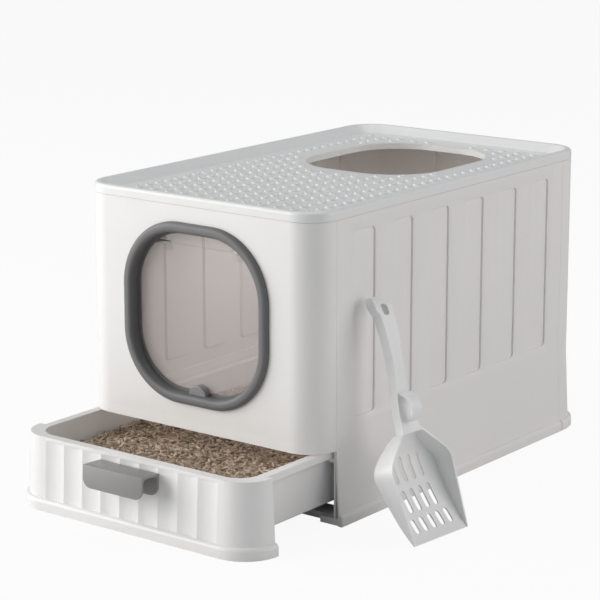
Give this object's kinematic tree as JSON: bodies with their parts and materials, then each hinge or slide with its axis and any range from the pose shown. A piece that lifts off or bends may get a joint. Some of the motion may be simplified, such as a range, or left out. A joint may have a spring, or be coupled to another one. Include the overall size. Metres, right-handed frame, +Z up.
{
  "type": "drawer litter box",
  "caption": "Enclosed litter box with a clear flap door in front, an entry hole in its lift-off drain lid, a pull-out litter tray with a grip, and a slotted scoop.",
  "frame": {"origin": "on the floor under the middle of the housing, half way between its side walls and between its front and rear walls", "axes": "-Y towards the front with the flap door and the drawer, +X to the right as seen from the front, +Z up; shown with the drawer pulled out 122 mm"},
  "size_m": [0.4944, 0.7539, 0.38],
  "materials": {
    "white_shell": "satin moulded",
    "side_shell": "satin moulded",
    "lid_shell": "satin moulded",
    "dark_trim": "satin moulded",
    "handle_grey": "fine matt",
    "tray_shell": "satin moulded",
    "clear_sheet": "clear smoky sheet",
    "screw_steel": "plain",
    "pellets": "pressed pellets",
    "scoop_grey": "satin moulded"
  },
  "bodies": {
    "housing": {"base_frame": "side_shell", "left_side_panel": "side_shell", "right_side_panel": "side_shell", "front_panel": "white_shell", "rear_panel": "white_shell", "door_frame_front": "dark_trim", "door_frame_rear": "dark_trim", "door_frame_screws": "screw_steel", "door_stop": "clear_sheet"},
    "door_flap": {"flap_sheet": "clear_sheet", "flap_pivots": "clear_sheet"},
    "lid": {"lid": "lid_shell"},
    "drawer": {"drawer_tray": "tray_shell", "drawer_handle": "handle_grey", "handle_screws": "screw_steel", "litter_bed": "pellets"},
    "scoop": {"scoop": "scoop_grey"}
  },
  "joints": [
    {"name": "drawer_slide", "type": "slide", "parent": "housing", "child": "drawer", "axis": [0, -1, 0], "range_m": [-0.122, 0.328]},
    {"name": "flap_hinge", "type": "hinge", "parent": "housing", "child": "door_flap", "pos_m": [0, -0.28, 0.317], "axis": [1, 0, 0], "range_deg": [0, 75]},
    {"name": "lid_lift", "type": "slide", "parent": "housing", "child": "lid", "axis": [0, 0, 1], "range_m": [0, 0.1]},
    {"name": "scoop_lift", "type": "slide", "parent": "housing", "child": "scoop", "axis": [0, 0, 1], "range_m": [0, 0.15]}
  ]
}
